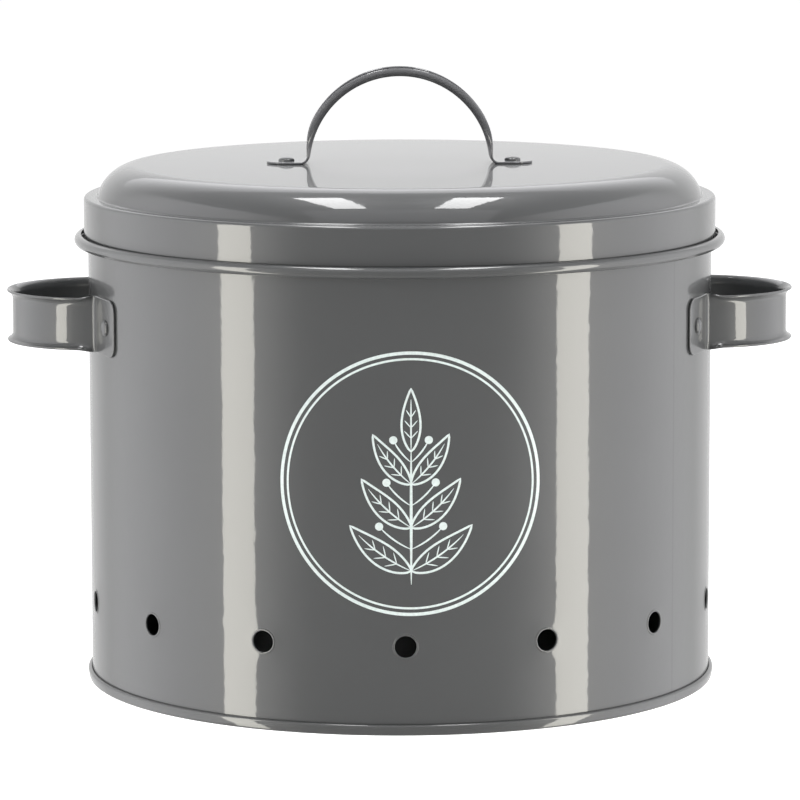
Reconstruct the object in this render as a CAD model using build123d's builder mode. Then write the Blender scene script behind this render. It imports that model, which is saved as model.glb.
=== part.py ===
from build123d import *
import os
from math import acos, atan2, ceil, cos, degrees, radians, sin, sqrt

os.makedirs("parts", exist_ok=True)

# Round sheet-steel storage bin with a slip-over lid and three riveted strap handles.
# Millimetres. Z is up, the base stands on z = 0 and the drum's axis is the Z axis.
# The front faces -Y and the side handles stand out along -X and +X.

# ---------------------------------------------------------------- driving dimensions
# sheet metal
sheet = 0.5
fold_gap = 0.04

# drum
drum_radius = 120.0
drum_height = 186.4
rim_roll_radius = 1.8

# double seam at the foot, and the base panel
seam_height = 4.1
panel_recess = 3.5

# welded lap of the wall, turned from the front towards the right
lap_angle = 57.7
lap_width = 4.0
lap_end_gap = 1.0

# air vents
vent_count = 14
vent_diameter = 8.0
vent_height = 33.0

# lid
lid_side_gap = 1.0
lid_rest_gap = 0.3
lid_rise = 11.8
ledge_width = 4.8
shoulder_radius = 16.0
skirt_depth = 18.7
bead_radius = 2.1

# strap that all three handles are bent from
strap_thickness = 1.5
lip_length = 4.0
lip_angle = 24.0
lip_start_angle = 1.0
seat_gap = 0.05

# side handles
side_strap_width = 21.6
side_handle_height = 141.2
side_stand_out = 30.0
side_loop_radius = 33.5
side_fold_radius = 1.0
side_foot_length = 20.5
side_foot_corner = 4.5
side_fade_angle = 9.0

# lid handle
lid_strap_width = 16.0
lid_handle_rise = 37.0
lid_loop_radius = 34.8
lid_bend_radius = 2.5
lid_foot_corner = 7.6
lid_fade_angle = 20.0
lid_rivet_spacing = 87.0

# rivets
rivet_edge = 7.6
rivet_shank_diameter = 3.2
rivet_hole_gap = 0.1
rivet_head_diameter = 6.2
rivet_head_edge = 0.7
rivet_head_height = 1.9
rivet_tail_diameter = 5.4
rivet_tail_height = 1.1

# sides of the small rounds, and the largest step of a fading lip, to keep the facets down
shoulder_sides = 3
vent_sides = 8
rivet_sides = 8
shank_sides = 8
fade_step = 10.0

# ---------------------------------------------------------------- derived places
wall_inside = drum_radius - sheet
wall_middle = drum_radius - sheet / 2
half_strap = strap_thickness / 2
hole_radius = rivet_shank_diameter / 2 + rivet_hole_gap

# lid levels
ledge_top = drum_height + lid_rest_gap + sheet
lid_top = ledge_top + lid_rise
lid_underside = lid_top - sheet


# ---------------------------------------------------------------- shared shapes
def radial_plane(radius, azimuth, height):
    """A plane that touches the cylinder of this radius and faces outwards."""
    outward = Vector(cos(radians(azimuth)), sin(radians(azimuth)), 0)
    return Plane(outward * radius + Vector(0, 0, height), x_dir=(0, 0, 1), z_dir=outward)


def bend_points(centre, radius, start, turn, sides):
    """Points along a bend that is drawn with a few straight sides."""
    angles = [radians(start + turn * i / sides) for i in range(sides + 1)]
    return [(centre[0] + radius * cos(a), centre[1] + radius * sin(a)) for a in angles]


def rolled_edge(centre, radius, free_side):
    """Section of an edge rolled up tight, with the two corners of its free side cut back."""
    with Locations(centre):
        Rectangle(2 * radius, 2 * radius)
    chamfer(vertices(Select.LAST).group_by(free_side)[-1], length=radius * (2 - sqrt(2)))


def strap_section(width, flare):
    """Cross-section of the strap: flat, with both edges bent outwards by the flare angle."""
    flat = width / 2 - lip_length
    lip_run = lip_length * cos(radians(flare))
    lip_climb = lip_length * sin(radians(flare))
    with BuildLine() as middle:
        Polyline((0, 0), (flat, 0), (flat + lip_run, lip_climb))
        mirror(about=Plane.YZ)
    trace(middle.edges(), line_width=strap_thickness)


def loop_section_plane(frame, radius, angle):
    """Plane square to the loop at this angle, with its y axis pointing out of the loop."""
    radial = frame.x_dir * cos(radians(angle)) + frame.y_dir * sin(radians(angle))
    tangent = frame.y_dir * cos(radians(angle)) - frame.x_dir * sin(radians(angle))
    return Plane(frame.origin + radial * radius, x_dir=frame.z_dir, z_dir=tangent)


def flared_loop(frame, radius, width, start, end, fade):
    """Loop of the strap from angle start to end. Its lips fade out near both ends."""
    spans = ceil(fade / fade_step)
    for flat_end, full_end in ((start, start + fade), (end, end - fade)):
        sections = []
        for i in range(spans + 1):
            angle = flat_end + i / spans * (full_end - flat_end)
            flare = lip_start_angle + i / spans * (lip_angle - lip_start_angle)
            with BuildSketch(loop_section_plane(frame, radius, angle)) as section:
                strap_section(width, flare)
            sections.append(section.sketch)
        loft(sections, ruled=True)
    with BuildSketch(loop_section_plane(frame, radius, start + fade)) as section:
        strap_section(width, lip_angle)
    turn = end - start - 2 * fade
    revolve(section.sketch, axis=Axis(frame.origin, frame.z_dir), revolution_arc=turn)


def rivet_holes(planes):
    """Clearance holes for rivet shanks, cut from these planes outwards through strap and sheet."""
    with BuildSketch(*planes) as holes:
        RegularPolygon(hole_radius, shank_sides)
    extrude(holes.sketch, amount=sheet + 2 * strap_thickness, mode=Mode.SUBTRACT)


def set_rivet(axis_plane, tail_seat, head_seat):
    """Rivet along the plane's normal, with its tail and head seated at these distances."""
    with BuildSketch(axis_plane.offset(tail_seat)) as shank:
        RegularPolygon(rivet_shank_diameter / 2, shank_sides)
    extrude(shank.sketch, amount=head_seat - tail_seat)
    with BuildSketch(axis_plane.offset(tail_seat)) as tail:
        RegularPolygon(rivet_tail_diameter / 2, rivet_sides)
    extrude(tail.sketch, amount=-rivet_tail_height)
    with BuildSketch(axis_plane.offset(head_seat)) as head:
        RegularPolygon(rivet_head_diameter / 2, rivet_sides)
    extrude(head.sketch, amount=rivet_head_height)
    head_rim = edges(Select.LAST).group_by(Axis(axis_plane.origin, axis_plane.z_dir))[-1]
    chamfer(head_rim, length=rivet_head_height - rivet_head_edge)


# ---------------------------------------------------------------- base pan
# The panel is recessed. Its sheet turns down inside the wall and out under it, and the folds
# that grip the wall from outside are pressed so tight that they are one band here.
panel_middle = panel_recess + sheet / 2
chuck_middle = wall_inside - fold_gap - sheet / 2
band_inside = drum_radius + fold_gap
band_width = 3 * sheet + 2 * fold_gap
band_middle = band_inside + band_width / 2

with BuildPart() as base_pan:
    with BuildSketch(Plane.XZ):
        with BuildLine():
            Polyline(
                (0, panel_middle),
                (chuck_middle, panel_middle),
                (chuck_middle, sheet / 2),
                (band_middle, sheet / 2),
            )
        trace(line_width=sheet)
        with Locations((band_middle, seam_height / 2)):
            Rectangle(band_width, seam_height)
    revolve()

# ---------------------------------------------------------------- drum wall
wall_foot = sheet + fold_gap
rim_centre = (drum_radius - rim_roll_radius, drum_height - rim_roll_radius)

with BuildPart() as drum_wall:
    with BuildSketch(Plane.XZ):
        with BuildLine():
            Line((wall_middle, wall_foot), (wall_middle, rim_centre[1]))
        trace(line_width=sheet)
        rolled_edge(rim_centre, rim_roll_radius, Axis.Y)
    revolve()

    # lap of the welded side seam, on the inside
    lap_foot = seam_height + lap_end_gap
    lap_head = drum_height - 2 * rim_roll_radius - lap_end_gap
    lap_turn = degrees(lap_width / wall_inside)
    lap_azimuth = lap_angle - 90
    with BuildSketch(Plane.XY.offset(lap_foot)):
        with BuildLine():
            CenterArc((0, 0), wall_inside - sheet / 2, lap_azimuth - lap_turn / 2, lap_turn)
        trace(line_width=sheet)
    extrude(amount=lap_head - lap_foot)

    # punched vents, one of them at the front
    vent_planes = [
        radial_plane(wall_inside - sheet, 360 / vent_count * i - 90, vent_height)
        for i in range(vent_count)
    ]
    with BuildSketch(*vent_planes):
        RegularPolygon(vent_diameter / 2, vent_sides)
    extrude(amount=3 * sheet, mode=Mode.SUBTRACT)

# ---------------------------------------------------------------- lid shell
# One line of sheet: flat top, shoulder, narrow ledge and skirt, with its edge rolled outwards.
skirt_inside = drum_radius + lid_side_gap
skirt_middle = skirt_inside + sheet / 2
ledge_middle = ledge_top - sheet / 2
top_middle = lid_top - sheet / 2
shoulder_bend = shoulder_radius - sheet / 2
shoulder_turn = degrees(acos((shoulder_bend - lid_rise) / shoulder_bend))
shoulder_foot = skirt_middle - ledge_width
shoulder_centre = (
    shoulder_foot - shoulder_bend * sin(radians(shoulder_turn)),
    top_middle - shoulder_bend,
)
bead_centre = (skirt_inside + bead_radius, ledge_top - skirt_depth + bead_radius)
lid_rivet_x = lid_rivet_spacing / 2
lid_rivet_planes = [Plane((x, 0, 0)) for x in (-lid_rivet_x, lid_rivet_x)]

with BuildPart() as lid_shell:
    with BuildSketch(Plane.XZ):
        with BuildLine():
            Polyline(
                (0, top_middle),
                *bend_points(shoulder_centre, shoulder_bend, 90, -shoulder_turn, shoulder_sides),
                (skirt_middle, ledge_middle),
                (skirt_middle, bead_centre[1]),
            )
        trace(line_width=sheet)
        rolled_edge(bead_centre, bead_radius, Axis.X)
    revolve()
    rivet_holes([plane.offset(lid_underside - sheet) for plane in lid_rivet_planes])

# ---------------------------------------------------------------- lid handle
# Two flat round-ended feet, a bend at each and an arch with flared lips between them.
foot_middle = lid_top + half_strap
lid_loop_middle = lid_loop_radius - half_strap
lid_bend_middle = lid_bend_radius + half_strap
lip_rise = lip_length * sin(radians(lip_angle)) + half_strap * cos(radians(lip_angle)) - half_strap
arch_centre_height = lid_top + lid_handle_rise - lip_rise - lid_loop_radius
bend_height = foot_middle + lid_bend_middle
bend_x = sqrt((lid_loop_middle + lid_bend_middle) ** 2 - (bend_height - arch_centre_height) ** 2)
arch_start = degrees(atan2(bend_height - arch_centre_height, bend_x))
lid_foot_tip = lid_rivet_x + rivet_edge

with BuildPart() as lid_handle:
    with BuildSketch(Plane.XZ):
        with BuildLine():
            bend = CenterArc((-bend_x, bend_height), lid_bend_middle, 270, 90 - arch_start)
            Line((-lid_foot_tip, foot_middle), bend @ 0)
            mirror(about=Plane.YZ)
        trace(line_width=strap_thickness)
    extrude(amount=lid_strap_width / 2, both=True)
    fillet(lid_handle.edges().filter_by(Axis.Z).group_by(Axis.X)[0], radius=lid_foot_corner)
    fillet(lid_handle.edges().filter_by(Axis.Z).group_by(Axis.X)[-1], radius=lid_foot_corner)
    arch_frame = Plane((0, 0, arch_centre_height), x_dir=(1, 0, 0), z_dir=(0, -1, 0))
    flared_loop(
        arch_frame, lid_loop_middle, lid_strap_width, arch_start, 180 - arch_start, lid_fade_angle
    )
    rivet_holes([plane.offset(lid_underside) for plane in lid_rivet_planes])

# ---------------------------------------------------------------- side handles
# Seen from above: a foot follows the wall, folds out tightly and runs on into a half-round loop.
foot_radius = drum_radius + seat_gap + half_strap
side_loop_middle = side_loop_radius - half_strap
side_bend_middle = side_fold_radius + half_strap
loop_centre_x = drum_radius + side_stand_out - side_loop_radius
fold_reach = foot_radius + side_bend_middle
fold_span = side_loop_middle + side_bend_middle
fold_x = (fold_reach**2 - fold_span**2 + loop_centre_x**2) / (2 * loop_centre_x)
fold_y = sqrt(fold_reach**2 - fold_x**2)
fold_azimuth = degrees(atan2(fold_y, fold_x))
loop_end = degrees(atan2(fold_y, fold_x - loop_centre_x))
foot_turn = degrees(side_foot_length / foot_radius)
side_rivet_azimuth = fold_azimuth + foot_turn - degrees(rivet_edge / foot_radius)
side_rivet_azimuths = {
    "rivet_right_front": -side_rivet_azimuth,
    "rivet_right_back": side_rivet_azimuth,
    "rivet_left_front": 180 + side_rivet_azimuth,
    "rivet_left_back": 180 - side_rivet_azimuth,
}

with BuildPart() as side_handle_right:
    with BuildSketch(Plane.XY.offset(side_handle_height - side_strap_width / 2)):
        with BuildLine():
            CenterArc((0, 0), foot_radius, fold_azimuth, foot_turn)
            fold_turn = loop_end - fold_azimuth
            CenterArc((fold_x, fold_y), side_bend_middle, 180 + fold_azimuth, fold_turn)
            mirror(about=Plane.XZ)
        trace(line_width=strap_thickness)
    extrude(amount=side_strap_width)
    foot_ends = side_handle_right.faces().filter_by(GeomType.PLANE).sort_by(Axis.X)[:2]
    fillet(foot_ends.edges().filter_by(Axis.Z, reverse=True), radius=side_foot_corner)
    loop_frame = Plane((loop_centre_x, 0, side_handle_height), x_dir=(1, 0, 0), z_dir=(0, 0, 1))
    flared_loop(
        loop_frame, side_loop_middle, side_strap_width, -loop_end, loop_end, side_fade_angle
    )
    right_foot_azimuths = (-side_rivet_azimuth, side_rivet_azimuth)
    rivet_holes([radial_plane(wall_inside, a, side_handle_height) for a in right_foot_azimuths])

with BuildPart() as side_handle_left:
    mirror(side_handle_right.part, about=Plane.YZ)

# rivet holes in the wall, in line with the holes in the feet
with drum_wall:
    rivet_holes(
        [
            radial_plane(wall_inside - sheet, azimuth, side_handle_height)
            for azimuth in side_rivet_azimuths.values()
        ]
    )

# ---------------------------------------------------------------- rivets
side_head_seat = foot_radius + half_strap
side_tail_seat = sqrt(wall_inside**2 - (rivet_tail_diameter / 2) ** 2)
rivets = {}

for name, azimuth in side_rivet_azimuths.items():
    with BuildPart() as rivet:
        set_rivet(radial_plane(0, azimuth, side_handle_height), side_tail_seat, side_head_seat)
    rivets[name] = rivet

for name, plane in zip(("lid_rivet_left", "lid_rivet_right"), lid_rivet_planes):
    with BuildPart() as rivet:
        set_rivet(plane, lid_underside, lid_top + strap_thickness)
    rivets[name] = rivet

# ---------------------------------------------------------------- written files
pieces = {
    "drum_wall": drum_wall,
    "base_pan": base_pan,
    "lid_shell": lid_shell,
    "lid_handle": lid_handle,
    "side_handle_left": side_handle_left,
    "side_handle_right": side_handle_right,
    **rivets,
}
for name, piece in pieces.items():
    piece.part.label = name
    export_step(piece.part, f"parts/{name}.step")
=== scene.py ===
from math import acos, atan2, ceil, cos, degrees, exp, hypot, pi, radians, sin, sqrt, tan

import bmesh
import bpy
from mathutils import Matrix, Vector


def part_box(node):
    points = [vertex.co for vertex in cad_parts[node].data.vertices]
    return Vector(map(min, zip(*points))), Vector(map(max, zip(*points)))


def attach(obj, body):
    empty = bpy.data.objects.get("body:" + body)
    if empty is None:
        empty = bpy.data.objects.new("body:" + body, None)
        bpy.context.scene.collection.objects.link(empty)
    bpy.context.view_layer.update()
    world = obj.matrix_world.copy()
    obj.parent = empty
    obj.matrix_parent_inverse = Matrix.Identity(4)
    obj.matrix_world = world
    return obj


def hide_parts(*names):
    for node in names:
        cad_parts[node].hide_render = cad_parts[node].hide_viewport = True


# A round sheet-steel storage bin in glossy grey enamel, with a slip-over lid and riveted strap
# handles. Lengths are in metres, and the front faces -Y. Outlines of turned pieces are lists of
# (radius, height).

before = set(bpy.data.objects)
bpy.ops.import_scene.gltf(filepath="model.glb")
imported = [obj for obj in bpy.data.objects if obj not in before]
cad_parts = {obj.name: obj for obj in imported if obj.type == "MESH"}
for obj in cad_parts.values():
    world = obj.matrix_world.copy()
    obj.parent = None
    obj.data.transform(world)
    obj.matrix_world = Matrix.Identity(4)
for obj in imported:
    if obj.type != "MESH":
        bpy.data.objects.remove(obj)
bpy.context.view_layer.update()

MM = 0.001

# ------------------------------------------------------------------ sizes read from the frame
WALL_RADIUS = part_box("drum_wall")[1].x
WALL_FOOT, WALL_TOP = (corner.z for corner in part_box("drum_wall"))
SEAM_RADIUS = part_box("base_pan")[1].x
SEAM_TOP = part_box("base_pan")[1].z
LID_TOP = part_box("lid_shell")[1].z
BEAD_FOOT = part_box("lid_shell")[0].z
BEAD_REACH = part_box("lid_shell")[1].x
ARCH_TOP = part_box("lid_handle")[1].z
LID_FOOT_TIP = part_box("lid_handle")[1].x
SIDE_LOW, SIDE_HIGH = (corner.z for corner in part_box("side_handle_right"))
SIDE_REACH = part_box("side_handle_right")[1].x
RIVET_LOW, RIVET_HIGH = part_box("rivet_right_back")
LID_RIVET_LOW, LID_RIVET_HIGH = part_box("lid_rivet_right")

# ------------------------------------------------------------------ sizes of the fine forms
SHEET = 0.5 * MM
STRAP = 0.9 * MM
RIM_ROLL = 1.8 * MM
RIM_TURN = 290
PANEL_MIDDLE = 3.75 * MM
FOLD_GAP = 0.04 * MM
LID_SIDE_GAP = 1.0 * MM
LID_RISE = 11.8 * MM
CROWN_RADIUS = 100.9 * MM
SHOULDER_BEND = 15.75 * MM
LEDGE_FILLET = 1.25 * MM
LEDGE_CORNER = 1.1 * MM
BEAD_ROLL = 2.1 * MM
BEAD_TURN = 282
VENTS = 14
VENT_RADIUS = 4.0 * MM
VENT_HEIGHT = 33.0 * MM
VENT_BEAD = 0.8 * MM
VENT_BEAD_RISE = 0.22 * MM
VENT_SWELL = 0.14 * MM
VENT_SWELL_REACH = 6 * MM
LAP_AZIMUTH = 57.7 - 90
SIDE_LIP = (4.4 * MM, 75)
LID_LIP = (3.6 * MM, 140)
EDGE_ROUND = 0.35 * MM
SEAT_GAP = 0.05 * MM
SIDE_LOOP_RADIUS = 33.5 * MM
SIDE_FOLD_RADIUS = 1.8 * MM
SIDE_FOOT_LENGTH = 20.5 * MM
SIDE_FOOT_CORNER = 4.5 * MM
SIDE_FADE = 7.5 * MM
LID_LOOP_RADIUS = 35.4 * MM
LID_BEND_RADIUS = 3.0 * MM
LID_LEG_LEAN = 9
LID_FOOT_CORNER = 7.6 * MM
LID_FADE = 20 * MM
LID_STRAP_WIDTH = 16.0 * MM
SIDE_STRAP_WIDTH = 21.6 * MM
RIVET_HEAD = 3.1 * MM
RIVET_HEAD_HEIGHT = 1.6 * MM
RIVET_HEAD_EDGE = 0.3 * MM
RIVET_SHANK = 1.6 * MM
RIVET_TAIL = 2.7 * MM
RIVET_TAIL_HEIGHT = 1.1 * MM
RIVET_EDGE = 7.6 * MM

# ------------------------------------------------------------------ camera and light
CAMERA_DISTANCE = 1821.2 * MM
CAMERA_HEIGHT = 369.1 * MM
CAMERA_AZIMUTH = -0.9
CAMERA_DROP = 8.198
CAMERA_ROLL = -0.113
CAMERA_LENS = 213.62
SENSOR = 36.0

# ------------------------------------------------------------------ paint
GREY = (0.04, 0.0415, 0.043)
# Painted light: the arch strap has the same enamel as the rest, and this lighter grey stands in for light on
# the arch that the lamps don't give.
ARCH_GREY_WITH_PAINTED_LIGHT = (0.075, 0.076, 0.082)
BASE_ROUGHNESS = 0.4
BASE_SHINE = 0.2
COAT = 0.8
RIPPLE = 0.02 * MM
WELD_WIDTH = 1.0 * MM

# ------------------------------------------------------------------ printed motif
PRINT_RADIUS = 48.65 * MM
PRINT_HEIGHT = 93.1 * MM
PRINT_AZIMUTH = 1.0 - 90
PRINT_RING = 1.2 * MM
INNER_RING_RADIUS = 46.2 * MM
INNER_RING = 0.77 * MM
INK_LINE = 0.8 * MM
LEAF_PAIRS = 3
LEAF_STEP = 16 * MM
LEAF_PLUMPNESS = 0.15
BERRY_RADIUS = 1.5 * MM
STEM_LOW = -37 * MM
STEM_LENGTH = 50 * MM
INK_SINK = 0.05 * MM
INK_THICKNESS = 0.03 * MM
INK_LAYER = 0.003 * MM

# ------------------------------------------------------------------ fineness of the meshes
ARC_STEP = 4
TURN_STEPS = 24 * VENTS


# ------------------------------------------------------------------ materials
def noise(material, size, detail):
    """Noise in the object's own coordinates, with features about that size."""
    nodes, links = material.node_tree.nodes, material.node_tree.links
    place = nodes.new("ShaderNodeTexCoord")
    texture = nodes.new("ShaderNodeTexNoise")
    texture.inputs["Scale"].default_value = 1 / size
    texture.inputs["Detail"].default_value = detail
    links.new(place.outputs["Object"], texture.inputs["Vector"])
    return texture.outputs["Fac"]


def spread(material, value, low, high):
    """The value, from 0 to 1, turned into a number from low to high."""
    nodes, links = material.node_tree.nodes, material.node_tree.links
    ranged = nodes.new("ShaderNodeMapRange")
    ranged.inputs["To Min"].default_value = low
    ranged.inputs["To Max"].default_value = high
    links.new(value, ranged.inputs["Value"])
    return ranged.outputs["Result"]


def tint(material, value, low, high):
    """The value turned into a colour between two."""
    nodes, links = material.node_tree.nodes, material.node_tree.links
    ramp = nodes.new("ShaderNodeValToRGB")
    for element, place, colour in zip(ramp.color_ramp.elements, (0.3, 0.7), (low, high)):
        element.position = place
        element.color = (*colour, 1)
    links.new(value, ramp.inputs["Fac"])
    return ramp.outputs["Color"]


def enamel(name, ripple_size, grey=GREY):
    """Grey gloss enamel: a clear, slightly rippled coat over a hazier, slightly uneven grey."""
    material = bpy.data.materials.new(name)
    material.use_nodes = True
    nodes, links = material.node_tree.nodes, material.node_tree.links
    shader = nodes["Principled BSDF"]
    shader.inputs["Roughness"].default_value = BASE_ROUGHNESS
    shader.inputs["Specular IOR Level"].default_value = BASE_SHINE
    shader.inputs["Coat Weight"].default_value = COAT
    shader.inputs["Coat IOR"].default_value = 1.5
    cloud = noise(material, 45 * MM, 3)
    light, dark = ([share * c for c in grey] for share in (1.04, 0.96))
    links.new(tint(material, cloud, dark, light), shader.inputs["Base Color"])
    links.new(spread(material, cloud, 0.03, 0.06), shader.inputs["Coat Roughness"])
    bump = nodes.new("ShaderNodeBump")
    bump.inputs["Distance"].default_value = RIPPLE
    links.new(noise(material, ripple_size, 1), bump.inputs["Height"])
    links.new(bump.outputs["Normal"], shader.inputs["Normal"])
    links.new(bump.outputs["Normal"], shader.inputs["Coat Normal"])
    return material


def weld_line(material):
    """Darkens the paint a little in a thin upright line where the wall's two ends are welded."""
    nodes, links = material.node_tree.nodes, material.node_tree.links
    shader = nodes["Principled BSDF"]
    place = nodes.new("ShaderNodeTexCoord")
    split = nodes.new("ShaderNodeSeparateXYZ")
    links.new(place.outputs["Object"], split.inputs["Vector"])
    azimuth = nodes.new("ShaderNodeMath")
    azimuth.operation = "ARCTAN2"
    links.new(split.outputs["Y"], azimuth.inputs[0])
    links.new(split.outputs["X"], azimuth.inputs[1])
    near = nodes.new("ShaderNodeMath")
    near.operation = "COMPARE"
    near.inputs[1].default_value = radians(LAP_AZIMUTH)
    near.inputs[2].default_value = WELD_WIDTH / 2 / WALL_RADIUS
    links.new(azimuth.outputs[0], near.inputs[0])
    darken = nodes.new("ShaderNodeMix")
    darken.data_type = "RGBA"
    darken.blend_type = "MULTIPLY"
    darken.inputs["B"].default_value = (0.8, 0.8, 0.8, 1)
    links.new(near.outputs[0], darken.inputs["Factor"])
    before = shader.inputs["Base Color"].links[0].from_socket
    links.new(before, darken.inputs["A"])
    links.new(darken.outputs["Result"], shader.inputs["Base Color"])


def screen_ink():
    """Pale satin ink of the printed front motif, laid on a little unevenly."""
    material = bpy.data.materials.new("screen_ink")
    material.use_nodes = True
    shader = material.node_tree.nodes["Principled BSDF"]
    shader.inputs["Roughness"].default_value = 0.35
    grain = noise(material, 1.1 * MM, 2)
    pale = tint(material, grain, (0.5, 0.56, 0.56), (0.6, 0.67, 0.67))
    material.node_tree.links.new(pale, shader.inputs["Base Color"])
    return material


DRUM_PAINT = enamel("drum_enamel", 3.5 * MM)
weld_line(DRUM_PAINT)
LID_PAINT = enamel("lid_enamel", 3.5 * MM)
HANDLE_PAINT = enamel("handle_enamel", 3.0 * MM)
# The arch gets a lightened copy of the drum's enamel. This is painted light, not a second paint.
ARCH_ENAMEL_WITH_PAINTED_LIGHT = enamel("arch_enamel_painted_light", 3.0 * MM, ARCH_GREY_WITH_PAINTED_LIGHT)
RIVET_PAINT = enamel("rivet_enamel", 1.5 * MM)
INK = screen_ink()


# ------------------------------------------------------------------ mesh helpers
def finish_piece(name, bm, material, body, node=None, crease=40):
    """Turns a bmesh into a named piece that rides on its body and stands for its CAD node."""
    bmesh.ops.remove_doubles(bm, verts=bm.verts, dist=0.002 * MM)
    loose = [v for v in bm.verts if not v.link_faces]
    bmesh.ops.delete(bm, geom=loose, context="VERTS")
    bmesh.ops.recalc_face_normals(bm, faces=bm.faces)
    mesh = bpy.data.meshes.new(name)
    bm.to_mesh(mesh)
    bm.free()
    mesh.shade_smooth()
    mesh.set_sharp_from_angle(angle=radians(crease))
    mesh.materials.append(material)
    piece = bpy.data.objects.new(name, mesh)
    bpy.context.scene.collection.objects.link(piece)
    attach(piece, body)
    if node:
        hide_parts(node)
    return piece


def arc(centre, radius, start, turn, step=ARC_STEP):
    """Points along an arc, from the start angle in degrees through the turn."""
    count = max(2, ceil(abs(turn) / step))
    angles = [radians(start + turn * i / count) for i in range(count + 1)]
    return [(centre[0] + radius * cos(a), centre[1] + radius * sin(a)) for a in angles]


def rounded(corners):
    """Path through corners (x, y, radius), with an arc of that radius at each."""
    path = [corners[0][:2]]
    for before, corner, after in zip(corners, corners[1:], corners[2:]):
        here, radius = Vector(corner[:2]), corner[2]
        back = (Vector(before[:2]) - here).normalized()
        ahead = (Vector(after[:2]) - here).normalized()
        turn = pi - back.angle(ahead)
        run = radius * tan(turn / 2)
        middle = here + (back + ahead).normalized() * (radius / cos(turn / 2))
        start = here + back * run - middle
        side = 1 if back.cross(ahead) < 0 else -1
        path += arc(middle, radius, degrees(atan2(start.y, start.x)), side * degrees(turn))
    return path + [corners[-1][:2]]


def thicken(path, thickness):
    """Outline of a sheet whose middle follows the path: out along one side, back on the other."""
    points = [Vector(p) for p in path]
    sides = ([], [])
    for i, point in enumerate(points):
        lines = [
            (b - a).normalized()
            for a, b in zip(points[max(i - 1, 0) : i + 1], points[max(i, 1) : i + 2])
            if (b - a).length > 1e-9
        ]
        along = sum(lines, Vector((0, 0))).normalized()
        across = Vector((-along.y, along.x)) * (thickness / 2)
        sides[0].append(point + across)
        sides[1].append(point - across)
    return sides[0] + sides[1][::-1]


def turned(bm, outline, closed=True, matrix=Matrix.Identity(4), steps=TURN_STEPS):
    """Turns an outline about the axis. An outline that starts and ends on the axis stays open."""
    rings = []
    for radius, height in outline:
        ring = []
        for i in range(steps):
            a = 2 * pi * i / steps
            ring.append(bm.verts.new(matrix @ Vector((radius * cos(a), radius * sin(a), height))))
        rings.append(ring)
    pairs = list(zip(rings, rings[1:]))
    if closed:
        pairs.append((rings[-1], rings[0]))
    for low, high in pairs:
        for i in range(steps):
            j = (i + 1) % steps
            bm.faces.new((low[i], low[j], high[j], high[i]))


# ------------------------------------------------------------------ drum wall
def wall_point(azimuth, height, depth=0.0):
    """Point on the wall's outer face, or that deep in it. The azimuth is in radians."""
    radius = WALL_RADIUS - depth
    return Vector((radius * cos(azimuth), radius * sin(azimuth), height))


def vent_patch(bm, azimuth, border_outer, border_inner):
    """A punched vent: rings from the square border on the outer face over the bead at
    the hole's edge to the same border on the inner face. The metal beside it swells a little."""
    count = len(border_outer)
    offsets = []
    for k in range(count):
        co = border_outer[k].co
        u = (atan2(co.y, co.x) - azimuth + pi) % (2 * pi) - pi
        offsets.append(Vector((u * WALL_RADIUS, co.z - VENT_HEIGHT)))
    shares = (0.75, 0.5, 0.32, 0.2, 0.1, 0.04)
    face_rings = [(share, VENT_BEAD, 0.0) for share in shares]
    bead_rings = [
        (0.0, VENT_BEAD * (1 + cos(radians(a))) / 2, -VENT_BEAD_RISE * sin(radians(a)))
        for a in range(0, 181, 15)
    ]
    back_rings = [(share, 0.0, SHEET) for share in (0.0, *reversed(shares))]
    rings = [border_outer]
    for share, inset, depth in face_rings + bead_rings + back_rings:
        ring = []
        for offset in offsets:
            hole = offset.normalized() * (VENT_RADIUS + inset)
            place = hole.lerp(offset, share)
            away = (place.length - VENT_RADIUS) / VENT_SWELL_REACH
            swell = VENT_SWELL * exp(-away * away) * (1 - share) ** 2
            ring.append(
                bm.verts.new(
                    wall_point(
                        azimuth + place.x / WALL_RADIUS, VENT_HEIGHT + place.y, depth - swell
                    )
                )
            )
        rings.append(ring)
    rings.append(border_inner)
    for near, far in zip(rings, rings[1:]):
        for k in range(count):
            m = (k + 1) % count
            bm.faces.new((near[k], near[m], far[m], far[k]))


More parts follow.
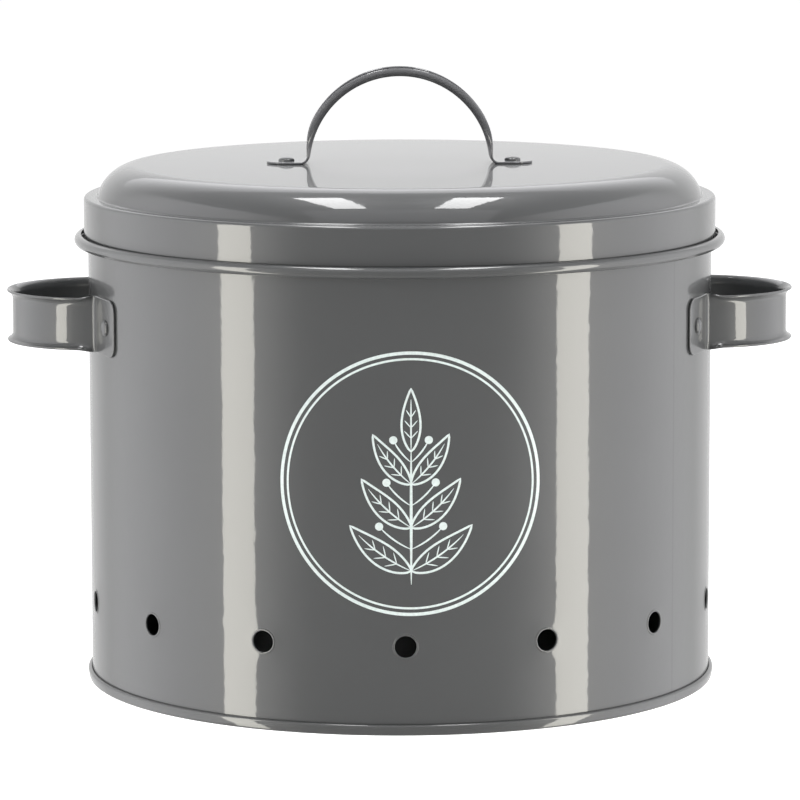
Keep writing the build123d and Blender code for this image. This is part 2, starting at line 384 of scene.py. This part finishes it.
def drum_wall():
    """Wall sheet from the foot to the rolled rim, with its vents and the welded lap inside."""
    bm = bmesh.new()
    half = 6
    cell = 2 * pi * WALL_RADIUS / TURN_STEPS
    levels = [WALL_FOOT, SEAM_TOP, SEAM_TOP + 4 * MM, 14 * MM]
    first = len(levels)
    levels += [VENT_HEIGHT + cell * k for k in range(-half, half + 1)]
    levels += [55 * MM, 64 * MM]
    spacing = TURN_STEPS // VENTS
    grids = []
    for depth in (0.0, SHEET):
        grids.append(
            [
                [
                    bm.verts.new(wall_point(2 * pi * c / TURN_STEPS - pi / 2, z, depth))
                    for c in range(TURN_STEPS)
                ]
                for z in levels
            ]
        )
    for grid in grids:
        for row in range(len(levels) - 1):
            for c in range(TURN_STEPS):
                beside = (c + half) % spacing < 2 * half
                if beside and first <= row < first + 2 * half:
                    continue
                d = (c + 1) % TURN_STEPS
                bm.faces.new((grid[row][c], grid[row][d], grid[row + 1][d], grid[row + 1][c]))
    outer, inner = grids
    for c in range(TURN_STEPS):
        d = (c + 1) % TURN_STEPS
        bm.faces.new((outer[0][c], outer[0][d], inner[0][d], inner[0][c]))
    last = first + 2 * half
    for vent in range(VENTS):
        c0 = vent * spacing
        border = [(half, r - half) for r in range(half, 2 * half)]
        border += [(half - k, half) for k in range(2 * half)]
        border += [(-half, half - k) for k in range(2 * half)]
        border += [(k - half, -half) for k in range(2 * half)]
        border += [(half, r - half) for r in range(half)]
        borders = [
            [grid[first + half + r][(c0 + c) % TURN_STEPS] for c, r in border] for grid in grids
        ]
        vent_patch(bm, 2 * pi * c0 / TURN_STEPS - pi / 2, *borders)

    # upper wall and rolled rim
    middle = WALL_RADIUS - SHEET / 2
    roll = arc(
        (WALL_RADIUS - RIM_ROLL, WALL_TOP - RIM_ROLL), RIM_ROLL - SHEET / 2, 0, RIM_TURN, step=8
    )
    heights = [levels[-1], 90 * MM, 120 * MM, 150 * MM]
    turned(bm, thicken([(middle, z) for z in heights] + roll, SHEET), closed=False)

    # welded lap inside
    width, low, high = 4 * MM, SEAM_TOP + MM, WALL_TOP - 2 * RIM_ROLL - MM
    span = width / WALL_RADIUS
    ends = []
    for z in (low, high):
        line = [radians(LAP_AZIMUTH) + span * (i / 6 - 0.5) for i in range(7)]
        outside = [bm.verts.new(wall_point(a, z, 0.8 * SHEET)) for a in line]
        inside = [bm.verts.new(wall_point(a, z, 2 * SHEET)) for a in line[::-1]]
        ends.append(outside + inside)
    for i in range(len(ends[0])):
        j = (i + 1) % len(ends[0])
        bm.faces.new((ends[0][i], ends[0][j], ends[1][j], ends[1][i]))
    for end in ends:
        bm.faces.new(end)
    return finish_piece("wall_sheet", bm, DRUM_PAINT, "drum", "drum_wall")


# ------------------------------------------------------------------ base pan
def base_pan():
    """Recessed panel, the foot it stands on, and the seam folded up round the wall's foot."""
    half = SHEET / 2
    chuck = WALL_RADIUS - SHEET - FOLD_GAP - half
    band = SEAM_RADIUS - half
    hook = WALL_RADIUS + FOLD_GAP + half
    path = rounded(
        [
            (0, PANEL_MIDDLE, 0),
            (chuck, PANEL_MIDDLE, 0.6 * MM),
            (chuck, half, 0.4 * MM),
            (band - 0.5 * MM, half, 0.8 * MM),
            (band, 2.4 * MM, 6 * MM),
            (band, SEAM_TOP - half, 0.7 * MM),
            (hook, SEAM_TOP - half, 0.2 * MM),
            (hook, 1.0 * MM, 0),
        ]
    )
    bm = bmesh.new()
    turned(bm, thicken(path, SHEET), closed=False)
    return finish_piece("base_and_seam", bm, DRUM_PAINT, "drum", "base_pan")


# ------------------------------------------------------------------ lid
def lid_shell():
    """Flat top, round shoulder, narrow ledge and skirt, with an open curled bead."""
    half = SHEET / 2
    skirt = WALL_RADIUS + LID_SIDE_GAP + half
    top = LID_TOP - half
    ledge = top - LID_RISE
    turn = acos(1 - LID_RISE / (SHOULDER_BEND + LEDGE_FILLET))
    brow = CROWN_RADIUS + SHOULDER_BEND * tan(turn / 2)
    slope = (SHOULDER_BEND + LEDGE_FILLET) * tan(turn / 2)
    path = rounded(
        [
            (0, top, 0),
            (brow, top, SHOULDER_BEND),
            (brow + slope * cos(turn), ledge, LEDGE_FILLET),
            (skirt, ledge, LEDGE_CORNER),
            (skirt, BEAD_FOOT + BEAD_ROLL + MM, 0),
        ]
    )
    path += arc((BEAD_REACH - BEAD_ROLL, BEAD_FOOT + BEAD_ROLL), BEAD_ROLL - half, 180, BEAD_TURN)
    bm = bmesh.new()
    turned(bm, thicken(path, SHEET), closed=False)
    return finish_piece("lid_sheet", bm, LID_PAINT, "lid", "lid_shell")


# ------------------------------------------------------------------ straps
def strap_section(half_width, full_half, lip_length, flare, thickness):
    """Closed section of the strap as (across, out) points, with both edges flared outwards."""
    flat = full_half - lip_length
    rounding = min(EDGE_ROUND, thickness / 2)
    edge = full_half - EDGE_ROUND
    places = [-1.0, 1.0]
    for i in range(9):
        place = (flat + (edge - flat) * i / 9) / edge
        places += [-place, place]

    def middle(place):
        """Point of the strap's middle line there, with the direction out of its face."""
        side = 1 if place > 0 else -1
        past = abs(place) * edge - flat
        if flare < 1e-4 or past <= 0:
            return Vector((place * (half_width - rounding), 0)), Vector((0, 1))
        bend = flare / lip_length
        point = Vector((side * (flat + sin(bend * past) / bend), (1 - cos(bend * past)) / bend))
        return point, Vector((-side * sin(bend * past), cos(bend * past)))

    front, back = [], []
    for place in sorted(places):
        point, out = middle(place)
        front.append(point + out * (thickness / 2))
        back.append(point - out * (thickness / 2))
    ends = []
    for side in (1, -1):
        point, out = middle(side)
        along = Vector((out.y, -out.x)) * side
        for face, angles in ((1, (75, 50, 25, 0)), (-1, (0, 25, 50, 75))):
            core = point + out * face * (thickness / 2 - rounding)
            for a in angles:
                turn = radians(a)
                ends.append(core + along * rounding * cos(turn) + out * face * rounding * sin(turn))
    return front + ends[:8] + back[::-1] + ends[8:][::-1]


def strap_path(foot, fold, loop):
    """Half of a handle's middle line in its plane, as (point, outward, distance past the foot).
    fold and loop are (centre, radius, start, turn), and the fold bends towards the outside."""
    stations = [(point, out, 0.0) for point, out in foot]
    for sign, (centre, radius, start, turn) in ((-1, fold), (1, loop)):
        count = max(8, ceil(abs(turn) / 2.5))
        for i in range(count + 1):
            angle = radians(start + turn * i / count)
            direction = Vector((cos(angle), sin(angle)))
            point = Vector(centre) + direction * radius
            before, out, past = stations[-1]
            run = (point - before).length
            if run < 0.01 * MM:
                continue
            steps = ceil(run / (2 * MM)) if i == 0 else 1
            for k in range(1, steps + 1):
                share = k / steps
                stations.append((before.lerp(point, share), direction * sign, past + run * share))
    return stations


def strap_handle(name, path, mirror, axes, origin, corner, width, lip, fade, paint, body, node):
    """Sweeps the strap's section along half a path and on along its mirror image. The axes are
    the path's two directions and the direction across the strap."""
    half = width / 2
    stations = []
    travelled = 0.0
    for i, (point, out, past) in enumerate(path):
        if i:
            travelled += (point - path[i - 1][0]).length
        half_width, thickness = half, STRAP
        if travelled < corner:
            half_width = half - corner + sqrt(corner**2 - (corner - travelled) ** 2)
        if travelled < EDGE_ROUND:
            drop = EDGE_ROUND - sqrt(EDGE_ROUND**2 - (EDGE_ROUND - travelled) ** 2)
            thickness = STRAP - 2 * drop
            half_width = max(half_width, EDGE_ROUND)
        share = min(1.0, past / fade)
        flare = radians(lip[1]) * share * share * (3 - 2 * share)
        stations.append((point, out, strap_section(half_width, half, lip[0], flare, thickness)))
    flipped = [
        (Vector((p.x * mirror[0], p.y * mirror[1])), Vector((o.x * mirror[0], o.y * mirror[1])), s)
        for p, o, s in reversed(stations[:-1])
    ]
    along, beside, across = axes
    bm = bmesh.new()
    rings = []
    for point, out, section in stations + flipped:
        centre = origin + along * point.x + beside * point.y
        outward = along * out.x + beside * out.y
        rings.append([bm.verts.new(centre + across * s.x + outward * s.y) for s in section])
    for near, far in zip(rings, rings[1:]):
        for i in range(len(near)):
            j = (i + 1) % len(near)
            bm.faces.new((near[i], near[j], far[j], far[i]))
    for ring in (rings[0], rings[-1]):
        bm.faces.new(ring)
    return finish_piece(name, bm, paint, body, node, crease=35)


def lip_rise(lip):
    """How far a full lip stands out past the strap's outer face."""
    turn = radians(lip[1])
    bend = lip[0] / turn
    side = 1 if lip[1] > 90 else -1
    return bend - (bend + side * STRAP / 2) * cos(turn) - STRAP / 2


def tip_distances(corner, length):
    """Distances along a foot from its tip: close together round the corner, then even."""
    near = [corner * (1 - cos(radians(a))) for a in range(0, 90, 5)]
    count = max(2, ceil((length - corner) / (1.5 * MM)))
    return near + [corner + (length - corner) * i / count for i in range(count + 1)]


def side_handles():
    """The two loops. Each foot follows the wall, folds out tightly and runs on into the loop."""
    foot_radius = WALL_RADIUS + SEAT_GAP + STRAP / 2
    loop_radius = SIDE_LOOP_RADIUS - STRAP / 2
    bend = SIDE_FOLD_RADIUS + STRAP / 2
    loop_x = SIDE_REACH - lip_rise(SIDE_LIP) - SIDE_LOOP_RADIUS
    reach, span = foot_radius + bend, loop_radius + bend
    fold_x = (reach**2 - span**2 + loop_x**2) / (2 * loop_x)
    fold_y = sqrt(reach**2 - fold_x**2)
    fold_azimuth = degrees(atan2(fold_y, fold_x))
    loop_end = degrees(atan2(fold_y, fold_x - loop_x))
    foot = []
    for distance in tip_distances(SIDE_FOOT_CORNER, SIDE_FOOT_LENGTH):
        a = radians(fold_azimuth) + (SIDE_FOOT_LENGTH - distance) / foot_radius
        direction = Vector((cos(a), sin(a)))
        foot.append((direction * foot_radius, direction))
    path = strap_path(
        foot,
        ((fold_x, fold_y), bend, 180 + fold_azimuth, loop_end - fold_azimuth),
        ((loop_x, 0), loop_radius, loop_end, -loop_end),
    )
    middle = Vector((0, 0, (SIDE_LOW + SIDE_HIGH) / 2))
    for side, sign in (("right", 1), ("left", -1)):
        axes = (Vector((sign, 0, 0)), Vector((0, 1, 0)), Vector((0, 0, 1)))
        strap_handle(
            f"side_strap_{side}", path, (1, -1), axes, middle, SIDE_FOOT_CORNER,
            SIDE_STRAP_WIDTH, SIDE_LIP, SIDE_FADE, HANDLE_PAINT, "drum", f"side_handle_{side}",
        )


def lid_handle():
    """Arched strap on the lid, with two flat round-ended feet."""
    foot_middle = LID_TOP + STRAP / 2
    loop_radius = LID_LOOP_RADIUS - STRAP / 2
    bend = LID_BEND_RADIUS + STRAP / 2
    centre_z = ARCH_TOP - lip_rise(LID_LIP) - LID_LOOP_RADIUS
    bend_z = foot_middle + bend
    lean = radians(LID_LEG_LEAN)
    leg = (centre_z - bend_z + (loop_radius + bend) * sin(lean)) / cos(lean)
    bend_x = (loop_radius + bend) * cos(lean) + leg * sin(lean)
    foot = [
        (Vector((-LID_FOOT_TIP + distance, foot_middle)), Vector((0, 1)))
        for distance in tip_distances(LID_FOOT_CORNER, LID_FOOT_TIP - bend_x)
    ]
    path = strap_path(
        foot,
        ((-bend_x, bend_z), bend, 270, 90 - LID_LEG_LEAN),
        ((0, centre_z), loop_radius, 180 - LID_LEG_LEAN, LID_LEG_LEAN - 90),
    )
    axes = (Vector((1, 0, 0)), Vector((0, 0, 1)), Vector((0, 1, 0)))
    strap_handle(
        "lid_strap", path, (-1, 1), axes, Vector(), LID_FOOT_CORNER,
        LID_STRAP_WIDTH, LID_LIP, LID_FADE, ARCH_ENAMEL_WITH_PAINTED_LIGHT, "lid", "lid_handle",
    )


# ------------------------------------------------------------------ rivets
def rivet(name, matrix, tail_seat, head_seat, body, node):
    """Domed head, shank and tail, turned about the local Z axis."""
    dome = RIVET_HEAD_HEIGHT - RIVET_HEAD_EDGE
    head = [
        (RIVET_HEAD * sin(radians(a)), head_seat + RIVET_HEAD_EDGE + dome * cos(radians(a)))
        for a in range(0, 91, 9)
    ]
    ease = 0.25 * MM
    tail_end = tail_seat - RIVET_TAIL_HEIGHT
    outline = head + [
        (RIVET_HEAD, head_seat),
        (RIVET_SHANK, head_seat),
        (RIVET_SHANK, tail_seat),
        (RIVET_TAIL, tail_seat),
        (RIVET_TAIL, tail_end + ease),
        (RIVET_TAIL - ease, tail_end),
        (0, tail_end),
    ]
    bm = bmesh.new()
    turned(bm, outline, closed=False, matrix=matrix, steps=48)
    return finish_piece(name, bm, RIVET_PAINT, body, node)


def rivets():
    """One rivet through each foot of the three handles."""
    foot_radius = WALL_RADIUS + SEAT_GAP + STRAP / 2
    centre = (RIVET_LOW + RIVET_HIGH) / 2
    azimuth = atan2(centre.y, centre.x)
    tail_seat = sqrt((WALL_RADIUS - SHEET) ** 2 - RIVET_TAIL**2)
    for name, a in (
        ("right_front", -azimuth),
        ("right_back", azimuth),
        ("left_front", azimuth - pi),
        ("left_back", pi - azimuth),
    ):
        matrix = (
            Matrix.Translation((0, 0, centre.z))
            @ Matrix.Rotation(a, 4, "Z")
            @ Matrix.Rotation(pi / 2, 4, "Y")
        )
        rivet(f"side_rivet_{name}", matrix, tail_seat, foot_radius + STRAP / 2, "drum", f"rivet_{name}")
    x = (LID_RIVET_LOW.x + LID_RIVET_HIGH.x) / 2
    for name, side in (("left", -1), ("right", 1)):
        matrix = Matrix.Translation((side * x, 0, 0))
        rivet(
            f"top_rivet_{name}", matrix, LID_TOP - SHEET, LID_TOP + STRAP, "lid", f"lid_rivet_{name}"
        )


# ------------------------------------------------------------------ printed motif
def ink_stroke(bm, points, width, layer=0, closed=False, taper=False):
    """Line of ink on the wall through points of the motif's plane, as a thin closed solid."""
    count = len(points)
    rows = []
    for i, point in enumerate(points):
        if closed:
            ahead = points[(i + 1) % count] - points[i - 1]
        else:
            ahead = points[min(i + 1, count - 1)] - points[max(i - 1, 0)]
        across = Vector((-ahead.y, ahead.x)).normalized() * (width / 2)
        if not closed:
            end = min(i, count - 1 - i) / (count - 1)
            across *= sqrt(max(0.03, sin(pi * end))) if taper else min(1, 0.45 + 8 * end)
        outer = INK_THICKNESS + INK_LAYER * layer
        row = []
        for offset, height in ((across, outer), (-across, outer), (-across, -INK_SINK), (across, -INK_SINK)):
            place = point + offset
            azimuth = radians(PRINT_AZIMUTH) + place.x / WALL_RADIUS
            row.append(bm.verts.new(wall_point(azimuth, PRINT_HEIGHT + place.y, -height)))
        rows.append(row)
    pairs = list(zip(rows, rows[1:]))
    if closed:
        pairs.append((rows[-1], rows[0]))
    else:
        bm.faces.new(rows[0])
        bm.faces.new(rows[-1])
    for near, far in pairs:
        for k in range(4):
            m = (k + 1) % 4
            bm.faces.new((near[k], near[m], far[m], far[k]))


def ring_points(radius, count):
    """Points round a circle of the motif's plane."""
    turns = [2 * pi * i / count for i in range(count)]
    return [Vector((radius * cos(a), radius * sin(a))) for a in turns]


def ink_dot(bm, centre, radius, layer=0):
    """Round spot of ink, drawn as a ring that closes on its middle."""
    ink_stroke(bm, [centre + p for p in ring_points(radius / 2, 20)], radius * 0.999, layer, closed=True)


def bent_line(foot, lean, length, curl, steps=24):
    """Points from the foot, leaning so many degrees from upright and curling on by so many."""
    points = [foot]
    for i in range(steps):
        heading = radians(90 - lean - curl * i / steps)
        points.append(points[-1] + Vector((cos(heading), sin(heading))) * (length / steps))
    return points


def leaf(bm, foot, lean, length, curl):
    """Outlined leaf with a midrib and side veins."""
    rib = bent_line(foot, lean, length, curl)
    last = len(rib) - 1
    sides = ([], [])
    for i, point in enumerate(rib):
        ahead = rib[min(i + 1, last)] - rib[max(i - 1, 0)]
        half = LEAF_PLUMPNESS * length * sin(pi * (i / last) ** 0.8) ** 0.9 if 0 < i < last else 0
        across = Vector((-ahead.y, ahead.x)).normalized() * half
        sides[0].append(point + across)
        sides[1].append(point - across)
    ink_stroke(bm, sides[0] + sides[1][-2:0:-1], INK_LINE, 1, closed=True)
    ink_stroke(bm, rib[: last - 3], 0.8 * INK_LINE, 2, taper=True)
    for start in (5, 9, 13):
        for side in sides:
            goal = rib[start].lerp(side[start + 4], 0.72)
            ink_stroke(bm, [rib[start].lerp(goal, k / 6) for k in range(7)], 0.55 * INK_LINE, 3, taper=True)


def motif():
    """Two plain rings round an upright sprig: pairs of leaves, and berries on twigs between."""
    bm = bmesh.new()
    ink_stroke(bm, ring_points(PRINT_RADIUS - PRINT_RING / 2, 240), PRINT_RING, closed=True)
    ink_stroke(bm, ring_points(INNER_RING_RADIUS - INNER_RING / 2, 240), INNER_RING, closed=True)
    ink_stroke(bm, bent_line(Vector((0, STEM_LOW)), 0, STEM_LENGTH, 0), 1.3 * INK_LINE, taper=True)
    top = STEM_LOW + STEM_LENGTH
    leaf(bm, Vector((0, top - MM)), 0, 23 * MM, 0)
    for i in range(LEAF_PAIRS):
        foot = STEM_LOW + 5 * MM + i * LEAF_STEP
        for side in (1, -1):
            lean, curl = side * (66 - 8 * i), -side * 26
            leaf(bm, Vector((0, foot)), lean, (28 - 2.5 * i) * MM, curl)
            twig = bent_line(Vector((0, foot + LEAF_STEP / 2)), lean, (14.5 - 2 * i) * MM, curl, 10)
            ink_stroke(bm, twig, 0.8 * INK_LINE, 1, taper=True)
            ink_dot(bm, twig[-1], BERRY_RADIUS, 2)
    return finish_piece("front_print", bm, INK, "drum")


# ------------------------------------------------------------------ camera, floor and light
def place_camera():
    """Long lens, a little above the lid, looking down at the front."""
    camera = bpy.data.objects.new("camera", bpy.data.cameras.new("camera"))
    bpy.context.scene.collection.objects.link(camera)
    camera.data.lens = CAMERA_LENS
    camera.data.sensor_width = SENSOR
    camera.matrix_world = (
        Matrix.Rotation(radians(CAMERA_AZIMUTH), 4, "Z")
        @ Matrix.Translation((0, -CAMERA_DISTANCE, CAMERA_HEIGHT))
        @ Matrix.Rotation(radians(90 - CAMERA_DROP), 4, "X")
        @ Matrix.Rotation(radians(CAMERA_ROLL), 4, "Z")
    )
    bpy.context.scene.camera = camera


def background_share(nodes, links):
    """1 for rays that should see the white background: camera, glossy and transmission rays."""
    rays = nodes.new("ShaderNodeLightPath")
    total = rays.outputs["Is Camera Ray"]
    for kind in ("Is Glossy Ray", "Is Transmission Ray"):
        largest = nodes.new("ShaderNodeMath")
        largest.operation = "MAXIMUM"
        links.new(total, largest.inputs[0])
        links.new(rays.outputs[kind], largest.inputs[1])
        total = largest.outputs[0]
    return total


def white_world(fill):
    """White to the eye and in reflections, and a softer fill on the object."""
    world = bpy.data.worlds.new("studio")
    bpy.context.scene.world = world
    world.use_nodes = True
    nodes, links = world.node_tree.nodes, world.node_tree.links
    seen = nodes["Background"]
    seen.inputs["Strength"].default_value = 1
    seen.inputs["Color"].default_value = (1, 1, 1, 1)
    lights = nodes.new("ShaderNodeBackground")
    lights.inputs["Strength"].default_value = fill
    mix = nodes.new("ShaderNodeMixShader")
    links.new(background_share(nodes, links), mix.inputs["Fac"])
    links.new(lights.outputs[0], mix.inputs[1])
    links.new(seen.outputs[0], mix.inputs[2])
    links.new(mix.outputs[0], nodes["World Output"].inputs["Surface"])


def floor():
    """Pale floor that shows white and keeps a soft shadow. The strip lamps reach past it."""
    bm = bmesh.new()
    bmesh.ops.create_grid(bm, x_segments=1, y_segments=1, size=6)
    mesh = bpy.data.meshes.new("floor")
    bm.to_mesh(mesh)
    bm.free()
    material = bpy.data.materials.new("pale_floor")
    material.use_nodes = True
    nodes, links = material.node_tree.nodes, material.node_tree.links
    shader = nodes["Principled BSDF"]
    shader.inputs["Base Color"].default_value = (0.75, 0.75, 0.75, 1)
    shader.inputs["Roughness"].default_value = 1
    shader.inputs["Specular IOR Level"].default_value = 0
    glow = nodes.new("ShaderNodeEmission")
    glow.inputs["Strength"].default_value = 0.84
    none = nodes.new("ShaderNodeEmission")
    none.inputs["Strength"].default_value = 0
    pick = nodes.new("ShaderNodeMixShader")
    links.new(background_share(nodes, links), pick.inputs["Fac"])
    links.new(none.outputs[0], pick.inputs[1])
    links.new(glow.outputs[0], pick.inputs[2])
    total = nodes.new("ShaderNodeAddShader")
    links.new(shader.outputs[0], total.inputs[0])
    links.new(pick.outputs[0], total.inputs[1])
    links.new(total.outputs[0], nodes["Material Output"].inputs["Surface"])
    mesh.materials.append(material)
    piece = bpy.data.objects.new("floor", mesh)
    bpy.context.scene.collection.objects.link(piece)
    piece.visible_glossy = False
    piece.visible_shadow = False


def softbox(name, place, target, width, height, radiance, colour=(1, 1, 1)):
    """Rectangular lamp at a place, facing the target, with its height as upright as can be."""
    lamp = bpy.data.lights.new(name, "AREA")
    lamp.shape = "RECTANGLE"
    lamp.size, lamp.size_y = width, height
    lamp.energy = radiance * pi * width * height
    lamp.color = colour
    piece = bpy.data.objects.new(name, lamp)
    bpy.context.scene.collection.objects.link(piece)
    piece.location = place
    piece.rotation_euler = (target - place).to_track_quat("-Z", "Y").to_euler()
    piece.visible_camera = False
    return lamp


def beside(azimuth, distance, height):
    """Place at that azimuth from the front, positive to the right."""
    a = radians(azimuth)
    return Vector((distance * sin(a), -distance * cos(a), height))


def fade_sides(lamp, rise, top, fall):
    """Makes a softbox fade out towards its two sides. It is full at the share top of its width,
    and the fade starts and ends at the shares rise and fall."""
    lamp.use_nodes = True
    nodes, links = lamp.node_tree.nodes, lamp.node_tree.links
    place = nodes.new("ShaderNodeNewGeometry")
    split = nodes.new("ShaderNodeSeparateXYZ")
    links.new(place.outputs["Parametric"], split.inputs["Vector"])
    ramp = nodes.new("ShaderNodeValToRGB")
    ramp.color_ramp.interpolation = "EASE"
    elements = ramp.color_ramp.elements
    elements[0].position, elements[1].position = rise, fall
    elements[0].color = elements[1].color = (0, 0, 0, 1)
    elements.new(top).color = (1, 1, 1, 1)
    links.new(split.outputs["X"], ramp.inputs["Fac"])
    links.new(ramp.outputs["Color"], nodes["Emission"].inputs["Strength"])


WARM = (1, 0.975, 0.88)
COOL = (0.97, 0.965, 1)


def studio():
    """Two tall strips, wide faded panels beside them, two lamps overhead."""
    white_world(fill=0.27)
    floor()
    behind = Vector((0, 1.25, 1.15))
    rear = softbox("panel_behind", behind, Vector((0, 0, 0.2)), 3.2, 0.9, 1.4, COOL)
    fade_sides(rear, 0.1, 0.5, 0.9)
    softbox("panel_front", Vector((0, -0.95, 1.25)), Vector((0, 0, 0.2)), 1.6, 0.8, 0.9, COOL)
    for name, side, strip_azimuth, strip_width in (("left", -1, 55.6, 0.118), ("right", 1, 58, 0.122)):
        low, level = Vector((0, 0, -0.03)), Vector((0, 0, 0.2))
        strip = beside(side * strip_azimuth, 0.55, low.z)
        softbox(f"strip_{name}", strip, low, strip_width, 0.84, 9.8, WARM)
        panel = softbox(f"panel_{name}", beside(side * 85, 1.1, level.z), level, 3.0, 1.8, 1.6, COOL)
        fade_sides(panel, 0.02, 0.5, 0.98)
        above = Vector((side * 0.192, -0.115, 0.9))
        softbox(f"top_{name}", above, above * Vector((1, 1, 0)), 0.132, 0.47, 16.5)


drum_wall()
base_pan()
lid_shell()
lid_handle()
side_handles()
rivets()
motif()
place_camera()
studio()

scene = bpy.context.scene
scene.view_settings.view_transform = "Standard"
